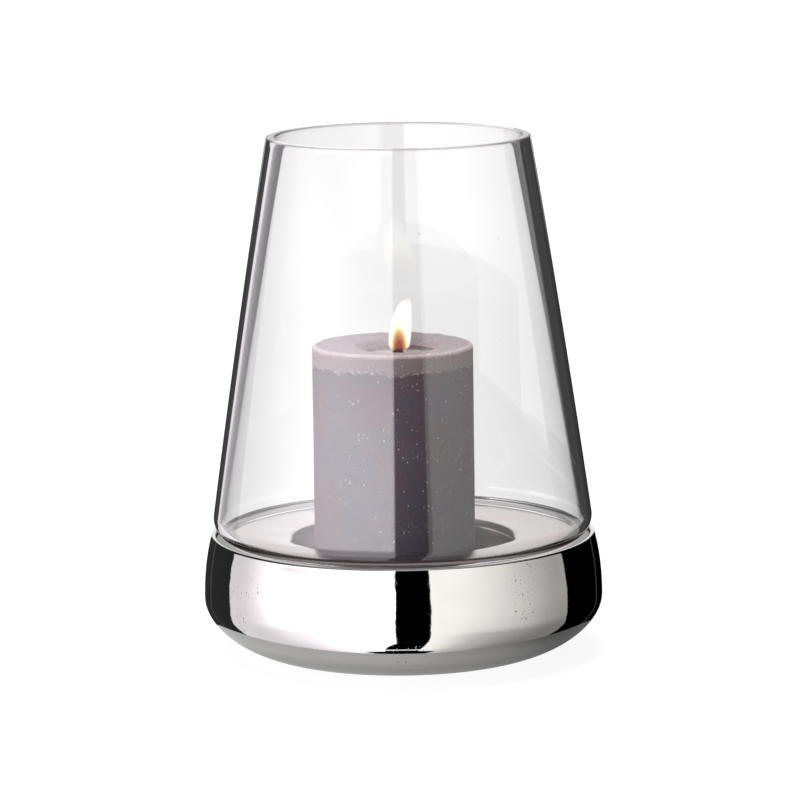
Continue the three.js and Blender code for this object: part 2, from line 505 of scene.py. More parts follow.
@dataclass(frozen=True)
class BurntWick(Finish):
    """Braided cotton, charred black where it has burnt and waxed grey below."""

    slot: Slot = Slot.WICK
    char: Colour = colour(0.008, 0.007, 0.007)
    ash: Colour = colour(0.045, 0.038, 0.036)
    waxed: Colour = colour(0.34, 0.30, 0.29)
    burnt_from: Span = (0.1490, 0.1500)

    def sockets(self, graph: Graph) -> dict[str, Input]:
        """Gives the braid, its char and the waxed cotton inside the candle."""
        where = graph.place()
        height = graph.parts(where)[2]
        braid = graph.node(
            "ShaderNodeTexWave", {"wave_type": "BANDS", "bands_direction": "DIAGONAL"},
            {"Vector": where, "Scale": 380, "Distortion": 1.5})
        weave = Term(graph, braid.outputs["Fac"])
        burnt = graph.mix(graph.step(graph.clouds(where, 900, 3), 0.45, 0.75), self.char, self.ash)
        return {
            "Base Color": graph.mix(graph.step(height, *self.burnt_from), self.waxed, burnt),
            "Roughness": 0.9 - 0.15 * weave,
            "Normal": graph.bump(weave, 0.00025),
        }


@dataclass(frozen=True)
class PadFelt(Finish):
    """Dark pressed felt."""

    slot: Slot = Slot.FELT
    dark: Colour = colour(0.014, 0.014, 0.016)
    light: Colour = colour(0.045, 0.045, 0.050)

    def sockets(self, graph: Graph) -> dict[str, Input]:
        """Gives the felt's matted fibres."""
        where = graph.place()
        fibres = graph.clouds(graph.place(scale=(1, 1.8, 1)), 1500, 5, 0.7)
        matted = graph.clouds(where, 300, 3)
        return {
            "Base Color": graph.mix(fibres * matted * 1.6, self.dark, self.light),
            "Roughness": 0.88 + 0.1 * fibres,
            "Sheen Weight": 0.3,
            "Normal": graph.bump(fibres, 0.0003),
        }


@dataclass(frozen=True)
class TinPlate(Finish):
    """Thin tinned sheet with its rolling lines."""

    slot: Slot = Slot.TIN
    bright: Colour = colour(0.52, 0.52, 0.51)
    dark_tone: Colour = colour(0.36, 0.36, 0.35)

    def sockets(self, graph: Graph) -> dict[str, Input]:
        """Gives the sheet's rolled grain."""
        rolled = graph.clouds(graph.place(scale=(1, 22, 1)), 160, 4, 0.6)
        return {
            "Base Color": graph.mix(rolled, self.dark_tone, self.bright),
            "Metallic": 1.0,
            "Roughness": 0.25 + 0.25 * rolled,
            "Normal": graph.bump(rolled, 0.00003),
        }


@dataclass(frozen=True)
class FlameGlow(Finish):
    """The glow of a still candle flame, white above and brown-orange in the arch round the wick."""

    slot: Slot = Slot.FLAME
    foot: float = 0.1508
    tip: float = 0.1784
    arch_middle: float = -0.0008
    arch_width: float = 0.0036
    arch_foot: float = 0.1515
    arch_height: float = 0.0105
    strength: float = 1.7
    cover: float = 1.0
    pale_tip: Colour = colour(0.62, 0.50, 0.44)
    stops: tuple[tuple[float, Colour], ...] = (
        (0.00, colour(0.15, 0.055, 0.042)), (0.24, colour(0.24, 0.075, 0.048)),
        (0.37, colour(0.44, 0.18, 0.10)), (0.47, colour(0.60, 0.37, 0.18)),
        (0.56, colour(0.80, 0.66, 0.40)), (0.70, colour(1.0, 0.95, 0.84)),
    )

    def sockets(self, graph: Graph) -> dict[str, Input]:
        """Gives the glow by its distance from the arch's middle, thinner at foot and tip."""
        across, _, height = graph.parts(graph.place())
        aside = (across - self.arch_middle) / self.arch_width
        above = (height - self.arch_foot) / self.arch_height
        reach = graph.length(aside, above) * 0.5
        rise = (height - self.foot) / (self.tip - self.foot)
        arch = graph.ramp(reach, self.stops)
        glow = graph.mix(graph.step(rise, 0.78, 1.0), arch, self.pale_tip)
        return {
            "Base Color": colour(0.0, 0.0, 0.0),
            "Roughness": 1.0,
            "Specular IOR Level": 0.0,
            "Emission Color": glow,
            "Emission Strength": self.strength,
            "Alpha": self.cover * graph.step(rise, 0.0, 0.14) * graph.step(rise, 1.08, 0.80),
        }


@dataclass
class Outline:
    """Half a turned piece's section, as points of radius and height."""

    points: list[Point]

    def to(self, radius: float, height: float) -> "Outline":
        """Runs straight to a point, with a point every few millimetres on the way."""
        from_radius, from_height = self.points[-1]
        length = math.hypot(radius - from_radius, height - from_height)
        count = max(1, math.ceil(length / LONGEST_STEP))
        for part in range(1, count + 1):
            share = part / count
            self.points.append((
                from_radius + share * (radius - from_radius),
                from_height + share * (height - from_height)))
        return self

    def curve(self, first: Point, second: Point, end: Point, steps: int) -> "Outline":
        """Runs along a cubic curve with two handles.

        Args:
            first: The handle at the start.
            second: The handle at the end.
            end: Where the curve ends.
            steps: How many points it adds.

        Returns:
            The outline itself.
        """
        start = self.points[-1]
        for step in range(1, steps + 1):
            t = step / steps
            weights = ((1 - t) ** 3, 3 * t * (1 - t) ** 2, 3 * t * t * (1 - t), t ** 3)
            corners = (start, first, second, end)
            self.points.append(tuple(
                sum(w * c[axis] for w, c in zip(weights, corners)) for axis in (0, 1)))
        return self

    def arc(self, centre: Point, radius: float, start: float, end: float, steps: int) -> "Outline":
        """Runs along a circle from one angle to another, in radians."""
        for step in range(steps + 1):
            angle = start + (end - start) * step / steps
            self.points.append((
                centre[0] + radius * math.cos(angle), centre[1] + radius * math.sin(angle)))
        return self

    def turned(self, middle: float = 0.0, closed: bool = True) -> Shape:
        """Spins the outline round an upright axis.

        Args:
            middle: The axis's place along X.
            closed: Whether the last point joins the first.

        Returns:
            The turned shape, with its doubles merged and its faces pointing out.
        """
        shape = bmesh.new()
        ring = [shape.verts.new((middle + radius, 0.0, height)) for radius, height in self.points]
        for first, second in zip(ring, ring[1:]):
            shape.edges.new((first, second))
        if closed:
            shape.edges.new((ring[-1], ring[0]))
        bmesh.ops.spin(
            shape, geom=shape.verts[:] + shape.edges[:], cent=(middle, 0, 0), axis=(0, 0, 1),
            dvec=(0, 0, 0), angle=math.tau, steps=TURN_STEPS, use_merge=True, use_duplicate=False)
        tidy(shape)
        return shape


def tidy(shape: Shape) -> None:
    """Merges doubles, drops empty faces and turns every face outwards."""
    bmesh.ops.remove_doubles(shape, verts=shape.verts[:], dist=MERGE_WITHIN)
    bmesh.ops.dissolve_degenerate(shape, edges=shape.edges[:], dist=EMPTY_EDGE)
    bmesh.ops.recalc_face_normals(shape, faces=shape.faces[:])


def round_ring(
        shape: Shape, middle: float, ring: Point, width: float, segments: int) -> None:
    """Rounds the edge that runs round a turned piece at one radius and height.

    Args:
        shape: The turned piece.
        middle: Its axis along X.
        ring: The edge's radius and height.
        width: How far the round reaches on each side.
        segments: Faces across the round.
    """
    def on_ring(vertex: bmesh.types.BMVert) -> bool:
        """Tests whether a vertex lies on the ring."""
        radius = math.hypot(vertex.co.x - middle, vertex.co.y)
        off = max(abs(radius - ring[0]), abs(vertex.co.z - ring[1]))
        return off < RING_WITHIN

    edges = [edge for edge in shape.edges if all(on_ring(vertex) for vertex in edge.verts)]
    bmesh.ops.bevel(
        shape, geom=edges, offset=width, offset_type="OFFSET", segments=segments,
        profile=0.5, affect="EDGES", material=-1, clamp_overlap=True)


def piece(name: str, shape: Shape, finish: Finish, body: Body) -> bpy.types.Object:
    """Makes an object from a finished shape and puts it on its body.

    Args:
        name: The piece's name.
        shape: Its shape, which is freed.
        finish: What it wears.
        body: What it moves with.

    Returns:
        The object.
    """
    mesh = bpy.data.meshes.new(name)
    for face in shape.faces:
        face.smooth = True
    shape.to_mesh(mesh)
    shape.free()
    mesh.set_sharp_from_angle(angle=SHARP_ANGLE)
    mesh.materials.append(finish.material())
    made = bpy.data.objects.new(name, mesh)
    bpy.context.scene.collection.objects.link(made)
    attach(made, body.value)
    log.info("%s: %d faces, on %s", name, len(mesh.polygons), body.value)
    return made


@dataclass
class Base:
    """The double-walled base: outer shell, tray and felt pads."""

    lift: float = 0.0015
    foot: float = 0.0660
    belly: float = 0.0995
    belly_height: float = 0.0268
    rim_middle: float = 0.09465
    rim_round: float = 0.0012
    rim_height: float = 0.0586
    wall: float = 0.0024
    vent: float = 0.0040
    foot_lean: float = 0.06
    rim_lean: float = 0.26
    ledge_width: float = 0.0026
    ledge_depth: float = 0.002
    tray_wall: float = 0.0022
    seat: float = 0.0565
    seat_width: float = 0.011
    tray_fall: float = 0.0005
    lip_round: float = 0.005
    recess_radius: float = 0.0530
    recess_draft: float = 0.002
    recess_depth: float = 0.0233
    recess_round: float = 0.006
    gap: float = 0.0003
    foot_round: float = 0.0009
    vent_round: float = 0.0004
    edge_round: float = 0.0004
    lip_share: float = 0.95
    foot_share: float = 0.92
    flank_steps: int = 22
    rim_steps: int = 10
    pads: int = 4
    metal: PlatedMetal = field(default_factory=PlatedMetal)
    tray_metal: PlatedMetal = field(default_factory=lambda: PlatedMetal(
        # Painted light: these plate colours are pinker than the shell's, a painted tint of the
        # candle's warm glow.
        plate=colour(0.53, 0.49, 0.495), thin_plate=colour(0.50, 0.425, 0.428),
        # Painted shade: past this radius the tray turns dark, for the shade in the gap round the
        # glass.
        haze=0.20, gap_shade_from=0.0868))

    def flank(self, outline: Outline, inset: float, down: bool) -> Outline:
        """Runs along the shell's flank between the foot and the rim.

        Args:
            outline: The outline that goes on.
            inset: How far inside the outer face it runs.
            down: Whether it runs from the rim to the foot.

        Returns:
            The outline itself.
        """
        low, rise = self.lift, self.belly_height / 2
        rim = self.rim_middle + self.rim_round
        rim_z = self.rim_height - self.rim_round
        third = (rim_z - self.belly_height) / 3
        lean = self.foot + rise * (1 if not inset else 0.93)
        lower = [
            (self.foot - 0.4 * inset, low + inset),
            (lean - 0.55 * inset, low + rise * self.foot_lean + 0.8 * inset),
            (self.belly - inset, low + rise),
            (self.belly - inset, low + self.belly_height)]
        upper = [
            lower[-1],
            (self.belly - inset, low + self.belly_height + third),
            (rim + third * self.rim_lean - inset, low + rim_z - third),
            (rim - inset, low + rim_z - 3 * inset)]
        for run in ([upper[::-1], lower[::-1]] if down else [lower, upper]):
            outline.to(*run[0])
            outline.curve(run[1], run[2], run[3], self.flank_steps)
        return outline

    def shell(self) -> None:
        """Turns the outer shell with its rounded rim and the ledge inside it."""
        low = self.lift
        rim_inner = self.rim_middle - self.rim_round
        rim_z = low + self.rim_height - self.rim_round
        ledge = low + self.seat - self.tray_wall - self.gap
        outline = self.flank(Outline([(self.vent, low)]), 0.0, False)
        outline.arc((self.rim_middle, rim_z), self.rim_round, 0.0, math.pi, self.rim_steps)
        outline.to(rim_inner, ledge).to(rim_inner - self.ledge_width, ledge)
        outline.to(rim_inner - self.ledge_width, ledge - self.ledge_depth)
        outline = self.flank(outline, self.wall, True)
        outline.to(self.vent, low + self.wall)
        shape = outline.turned()
        round_ring(shape, 0.0, (self.foot, low), self.foot_round, 5)
        round_ring(shape, 0.0, (self.vent, low), self.vent_round, 3)
        made = piece("base_bowl", shape, self.metal, Body.BASE)
        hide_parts("base_shell")

    def tray(self) -> None:
        """Turns the tray with the flat ring for the glass and the recess for the candle."""
        low = self.lift
        edge = self.rim_middle - self.rim_round - self.gap
        seat, floor = low + self.seat, low + self.seat - self.recess_depth
        lip = (self.recess_radius + self.recess_draft, seat - self.tray_fall)
        foot = (self.recess_radius, floor)
        wall = self.tray_wall
        under_lip = (lip[0] + wall, lip[1] - wall)
        under_foot = (foot[0] + wall, foot[1] - wall)
        outline = Outline([(0.0, floor - wall)])
        outline.to(*under_foot).to(*under_lip)
        outline.to(edge - self.seat_width, seat - wall).to(edge, seat - wall)
        outline.to(edge, seat).to(edge - self.seat_width, seat).to(*lip).to(*foot).to(0.0, floor)
        shape = outline.turned(closed=False)
        round_ring(shape, 0.0, lip, self.lip_round * self.lip_share, 10)
        round_ring(shape, 0.0, foot, self.recess_round * self.foot_share, 10)
        round_ring(shape, 0.0, under_lip, (self.lip_round - wall) * self.lip_share, 6)
        round_ring(shape, 0.0, under_foot, (self.recess_round + wall) * self.foot_share, 6)
        round_ring(shape, 0.0, (edge, seat), self.edge_round, 3)
        made = piece("tray_face", shape, self.tray_metal, Body.BASE)
        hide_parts("candle_tray")

    def build(self) -> None:
        """Makes the base's pieces and dresses the pads."""
        self.shell()
        self.tray()
        felt = PadFelt().material()
        for number in range(1, self.pads + 1):
            wear(f"felt_pad_{number}", felt)


@dataclass
class Shade:
    """The glass shade: a rounded heel, a tapered side and a cut mouth with polished edges.

    It casts no shadow, so that the lamps reach the candle through it. It is left out of
    mirrored rays, because its thick heel would otherwise show dark arcs at the back.
    """

    foot: float = 0.0583
    mouth_wall: float = 0.0044
    heel_wall: float = 0.0033
    height: float = 0.2002
    mouth: float = 0.06525
    heel: float = 0.0105
    heel_turn: float = math.radians(74)
    rim_inner: float = 0.09345
    overhang: float = 0.00095
    bulge: float = 0.0006
    polish: float = 0.0007
    foot_round: float = 0.0010
    heel_steps: int = 26
    side_steps: int = 48

    def side(self, inner: bool) -> list[Point]:
        """Gives the points of one face of the wall, from its foot up to the mouth.

        Args:
            inner: Whether it is the inner face.

        Returns:
            Points of radius and height.
        """
        heel_rise = self.heel * math.sin(self.heel_turn)
        centre = (self.rim_inner + self.overhang - self.heel, self.foot + heel_rise)
        radius = self.heel - (self.heel_wall if inner else 0.0)
        mouth = (self.mouth - (self.mouth_wall if inner else 0.0), self.foot + self.height)
        taper = math.atan2(centre[0] + radius - mouth[0], self.height - heel_rise)
        outline = Outline([])
        outline.arc(centre, radius, -self.heel_turn, taper, self.heel_steps)
        start = outline.points[-1]
        run, rise = start[0] - mouth[0], mouth[1] - start[1]
        length = math.hypot(run, rise)
        bow = ((start[0] + mouth[0]) / 2 + 2 * self.bulge * rise / length,
               (start[1] + mouth[1]) / 2 + 2 * self.bulge * run / length)
        first = tuple((s + 2 * b) / 3 for s, b in zip(start, bow))
        second = tuple((m + 2 * b) / 3 for m, b in zip(mouth, bow))
        return outline.curve(first, second, mouth, self.side_steps).points

    def build(self) -> None:
        """Turns the shade and rounds its foot and its mouth."""
        outer, inner = self.side(False), self.side(True)
        shape = Outline(outer + inner[::-1]).turned()
        for ring in (outer[-1], inner[-1]):
            round_ring(shape, 0.0, ring, self.polish, 4)
        for ring in (outer[0], inner[0]):
            round_ring(shape, 0.0, ring, self.foot_round, 6)
        made = piece("shade_glass", shape, ClearGlass(), Body.SHADE)
        made.visible_shadow = made.visible_glossy = False
        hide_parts("glass_shade")


FLAME_STATIONS = (
    (0.1508, -0.0008, 0.0), (0.1516, -0.0008, 0.0032), (0.1534, -0.0007, 0.0046),
    (0.1554, -0.0006, 0.0050), (0.1584, -0.0003, 0.0051), (0.1614, 0.0000, 0.0050),
    (0.1654, 0.0005, 0.0047), (0.1694, 0.0011, 0.0041), (0.1724, 0.0018, 0.0034),
    (0.1749, 0.0024, 0.0027), (0.1769, 0.0034, 0.0017), (0.1784, 0.0042, 0.0),
)


def flame_section(height: float) -> Point:
    """Gives the flame's middle along X and its half width at a height."""
    for lower, upper in zip(FLAME_STATIONS, FLAME_STATIONS[1:]):
        if height <= upper[0]:
            share = max(0.0, (height - lower[0]) / (upper[0] - lower[0]))
            return tuple(low + share * (high - low) for low, high in zip(lower[1:], upper[1:]))
    return FLAME_STATIONS[-1][1:]


@dataclass
class Candle:
    """The pillar candle with its melted hollow, its wick and its flame.

    The hollow is shifted between the radii shift_from and shift_to, and the wax is uneven
    outside ripple_from and swells a little outside swell_from.
    """

    middle: float = -0.004
    foot: float = 0.035
    radius: float = 0.040
    height: float = 0.120
    shoulder: float = 0.0022
    top_fall: float = 0.0008
    pool_radius: float = 0.0215
    pool_depth: float = 0.0042
    pool_shift: float = 0.0035
    pool_stretch: float = 1.16
    wick_radius: float = 0.0012
    bore: float = 0.0015
    disc_room: float = 0.0093
    disc_height: float = 0.0011
    melt_depth: float = 0.0012
    melt_gap: float = 0.0036
    bead_width: float = 0.0010
    bead_rise: float = 0.00018
    pond_inset: float = 0.0008
    unevenness: float = 0.00035
    uneven_fall: float = 0.012
    uneven_rise: float = 0.010
    shift_from: float = 0.004
    shift_to: float = 0.036
    shift_reach: float = 0.032
    swell_from: float = 0.038
    ripple_from: float = 0.005
    curl: float = 0.0050
    curl_rise: float = 0.0018
    foot_round: float = 0.0011
    pool_round: float = 0.0018
    well_round: float = 0.0014
    swell: float = 0.00012
    wick_start: float = 0.0006
    char_from: int = 8
    char_swell: float = 0.10
    lamp_place: tuple[float, float, float] = (0.004, -0.010, 0.1575)
    lamp_colour: tuple[float, float, float] = (1.0, 0.55, 0.26)
    lamp_power: float = 0.006
    lamp_size: float = 0.004

    def uneven(self, shape: Shape) -> None:
        """Moves the hollow off the axis and makes the wax slightly uneven near the top."""
        top = self.foot + self.height
        for vertex in shape.verts:
            across, depth = vertex.co.x - self.middle, vertex.co.y
            radius = math.hypot(across, depth)
            near_top = (vertex.co.z - top + self.uneven_fall) / self.uneven_rise
            near_top = min(1.0, max(0.0, near_top))
            if self.shift_from < radius < self.shift_to and near_top > 0.4:
                along = min(1.0, (radius - self.shift_from) / self.shift_reach)
                share = math.sin(math.pi * along) ** 0.6
                vertex.co.x += share * self.pool_shift
                vertex.co.y *= 1 + share * (self.pool_stretch - 1)
            if radius > self.ripple_from:
                ripple = noise.noise(vertex.co * 130) + 0.6 * noise.noise(vertex.co * 420)
                vertex.co.z += near_top * self.unevenness * ripple
            if radius > self.swell_from:
                swell = noise.noise(Vector((vertex.co.x * 55, vertex.co.y * 55, vertex.co.z * 30)))
                vertex.co.x += self.swell * swell * across / radius
                vertex.co.y += self.swell * swell * depth / radius

    def wax(self) -> None:
        """Turns the candle with its hollow, the bore and the room for the disc."""
        low, top = self.foot, self.foot + self.height
        pool_top, pool_floor = top - self.top_fall, top - self.top_fall - self.pool_depth
        foot_radius = self.pool_radius - self.pool_depth
        disc_top = low + self.disc_height
        outline = Outline([(self.disc_room, low)])
        outline.to(self.radius, low).to(self.radius, top).to(self.pool_radius, pool_top)
        outline.to(foot_radius, pool_floor).to(self.bore, pool_floor).to(self.bore, disc_top)
        # The inner corner of the disc's room is set a hair below the room's roof.
        outline.to(self.disc_room, disc_top)
        outline.points.pop()
        outline.to(self.disc_room, disc_top - CORNER_DROP)
        shape = outline.turned(self.middle)
        round_ring(shape, self.middle, (self.radius, top), self.shoulder, 8)
        round_ring(shape, self.middle, (self.radius, low), self.foot_round, 4)
        round_ring(shape, self.middle, (self.pool_radius, pool_top), self.pool_round, 6)
        round_ring(shape, self.middle, (foot_radius, pool_floor), self.well_round, 5)
        self.uneven(shape)
        made = piece("candle_body", shape, CandleWax(), Body.CANDLE)
        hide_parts("pillar_candle")

    def melt(self) -> None:
        """Makes the liquid wax, its edge drawn up a little at the wall."""
        floor = self.foot + self.height - self.top_fall - self.pool_depth
        level = floor + self.melt_depth
        shape = bmesh.new()
        bmesh.ops.create_circle(
            shape, cap_ends=True, segments=96, radius=self.pool_radius - self.melt_gap)
        bmesh.ops.scale(shape, vec=(1, self.pool_stretch, 1), verts=shape.verts[:])
        bmesh.ops.translate(
            shape, vec=(self.middle + self.pool_shift, 0, level), verts=shape.verts[:])
        bead = bmesh.ops.inset_region(
            shape, faces=shape.faces[:], thickness=self.bead_width, depth=-self.bead_rise)["faces"]
        pond = [face for face in shape.faces if face not in bead]
        bmesh.ops.inset_region(shape, faces=pond, thickness=self.pond_inset)
        tidy(shape)
        piece("melted_pool", shape, MeltedWax(), Body.CANDLE)

    def wick(self) -> None:
        """Draws the wick up the bore and bends its burnt end over."""
        floor = self.foot + self.height - self.top_fall - self.pool_depth
        shape = bmesh.new()
        ring = bmesh.ops.create_circle(
            shape, cap_ends=True, segments=14, radius=self.wick_radius)["verts"]
        at = Vector((self.middle, 0, self.foot + self.wick_start))
        bmesh.ops.translate(shape, vec=(self.middle, 0, self.foot + self.wick_start), verts=ring)
        stations = [
            Vector((self.middle, 0, floor * share + at.z * (1 - share)))
            for share in (0.25, 0.5, 0.75, 0.97)]
        stations += [
            Vector((
                self.middle + self.curl * t ** 1.25, 0.0003 * math.sin(5 * t),
                floor + self.curl_rise * t ** 0.8))
            for t in (k / 12 for k in range(1, 13))]
        heading = Vector((0, 0, 1))
        face = shape.faces[:][0]
        for number, station in enumerate(stations):
            grown = bmesh.ops.extrude_face_region(shape, geom=[face])["geom"]
            verts = [item for item in grown if isinstance(item, bmesh.types.BMVert)]
            if number:
                bmesh.ops.delete(shape, geom=[face], context="FACES_ONLY")
            face = next(item for item in grown if isinstance(item, bmesh.types.BMFace))
            ahead = (station - at).normalized()
            turn = heading.rotation_difference(ahead).to_matrix()
            bmesh.ops.rotate(shape, verts=verts, cent=at, matrix=turn)
            bmesh.ops.translate(shape, vec=station - at, verts=verts)
            if number > self.char_from:
                swell = 1.0 + self.char_swell * math.sin(2.3 * number)
                middle = sum((v.co for v in verts), Vector()) / len(verts)
                to_middle = Matrix.Translation(-middle)
                bmesh.ops.scale(shape, vec=(swell,) * 3, verts=verts, space=to_middle)
            at, heading = station, ahead
        tidy(shape)
        made = piece("wick_braid", shape, BurntWick(), Body.CANDLE)
        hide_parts("wick")

    def flame(self, name: str, grown: float, finish: FlameGlow) -> None:
        """Shapes one skin of the flame: full at the foot, pointed and leaning at the tip.

        Args:
            name: The skin's name.
            grown: How far it stands out of the flame's own shape.
            finish: Its glow.
        """
        shape = bmesh.new()
        bmesh.ops.create_uvsphere(shape, u_segments=48, v_segments=64, radius=1.0)
        low, high = FLAME_STATIONS[0][0] - grown, FLAME_STATIONS[-1][0] + grown
        for vertex in shape.verts:
            height = low + (high - low) * (vertex.co.z + 1) / 2
            middle, half = flame_section(height)
            around = Vector((vertex.co.x, vertex.co.y))
            around = around.normalized() if around.length > 1e-6 else around
            half = half + grown * min(1.0, around.length)
            vertex.co = Vector((middle + around.x * half, around.y * half * 0.85, height))
        tidy(shape)
        made = piece(name, shape, finish, Body.CANDLE)
        made.visible_shadow = made.visible_diffuse = False

    def light(self) -> None:
        """Hangs a small warm lamp in the flame, which moves with the candle."""
        lamp = bpy.data.lights.new("flame_light", "POINT")
        lamp.color = self.lamp_colour
        lamp.energy = self.lamp_power
        lamp.shadow_soft_size = self.lamp_size
        made = bpy.data.objects.new("flame_light", lamp)
        made.location = self.lamp_place
        made.visible_glossy = made.visible_transmission = False
        bpy.context.scene.collection.objects.link(made)
        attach(made, Body.CANDLE.value)

    def build(self) -> None:
        """Makes the candle's pieces and dresses the disc."""
        self.wax()
        self.melt()
        self.wick()
        self.flame("flame_glow", 0.0, FlameGlow())
        self.flame("flame_haze", 0.0005, FlameGlow(strength=1.3, cover=0.28))
        self.light()
        wear("wick_disc", TinPlate().material())


def wear(node: str, finish: bpy.types.Material) -> None:
    """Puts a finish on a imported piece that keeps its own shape."""
    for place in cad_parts[node].material_slots:
        place.material = finish
    log.info("%s: dressed", node)


@dataclass(frozen=True)
class Panel:
    """A soft panel beside the holder as the polished faces see it.

    Its sizes are degrees round the holder and above the horizon.
    """

    side: int
    inner: float
    outer: float
    near: float
    far: float
    crown: float = 39.0
    slope: float = 0.265
    corner: float = 8.0
    soft: float = 1.0
    soft_side: float = 0.4
    spread: float = 0.5
    spread_from: float = -15.0
    dim: float = 0.0
    fade_round: Span = (30.0, 105.0)
    dim_below: Span = (-4.0, -26.0)
    dim_round: Span = (12.0, 50.0)

    def glow(self, graph: Graph, azimuth: Term, elevation: Term) -> Term:
        """Gives the panel's brightness in a direction.

        Args:
            graph: The world's tree.
            azimuth: Degrees round the holder, 0 at the front, positive to the right.
            elevation: Degrees above the horizon.

        Returns:
            Its brightness, 0 outside the panel.
        """
        round_to = azimuth * float(self.side)
        below = graph.most(self.spread_from - elevation, 0.0)
        off_side = graph.most(round_to - self.spread * below - (self.outer - self.corner), 0.0)
        off_top = graph.most(elevation + self.slope * round_to - (self.crown - self.corner), 0.0)
        outside = graph.length(off_side, off_top) - self.corner
        mask = graph.step(outside, 0.0, -self.soft)
        mask = mask * graph.step(round_to, self.inner - self.soft_side, self.inner + self.soft_side)
        fade = graph.step(round_to, *self.fade_round)
        low = graph.step(elevation, *self.dim_below) * graph.step(round_to, *self.dim_round)
        return mask * (self.near + (self.far - self.near) * fade) * (1.0 - self.dim * low)


@dataclass(frozen=True)
class Stripe:
    """A level stripe in the reflections, in degrees, with the spans over which its edges fade."""

    height: float
    edge: Span
    left: Span
    right: Span

    def mask(self, graph: Graph, azimuth: Term, elevation: Term) -> Term:
        """Gives 1 inside the stripe and 0 outside."""
        inside = graph.step(abs(elevation - self.height), *self.edge)
        return inside * graph.step(azimuth, *self.left) * graph.step(azimuth, *self.right)


@dataclass(frozen=True)
class SoftLamp:
    """A round soft lamp that polished faces and glass don't show."""

    name: str
    place: tuple[float, float, float]
    size: float
    power: float

    def hang(self, aim: Vector) -> None:
        """Hangs the lamp and points it at a place."""
        light = bpy.data.lights.new(self.name, "AREA")
        light.shape = "DISK"
        light.size = self.size
        light.energy = self.power
        made = bpy.data.objects.new(self.name, light)
        place = Vector(self.place)
        turn = (aim - place).to_track_quat("-Z", "Y").to_matrix().to_4x4()
        made.matrix_world = Matrix.Translation(place) @ turn
        made.visible_glossy = made.visible_transmission = False
        bpy.context.scene.collection.objects.link(made)


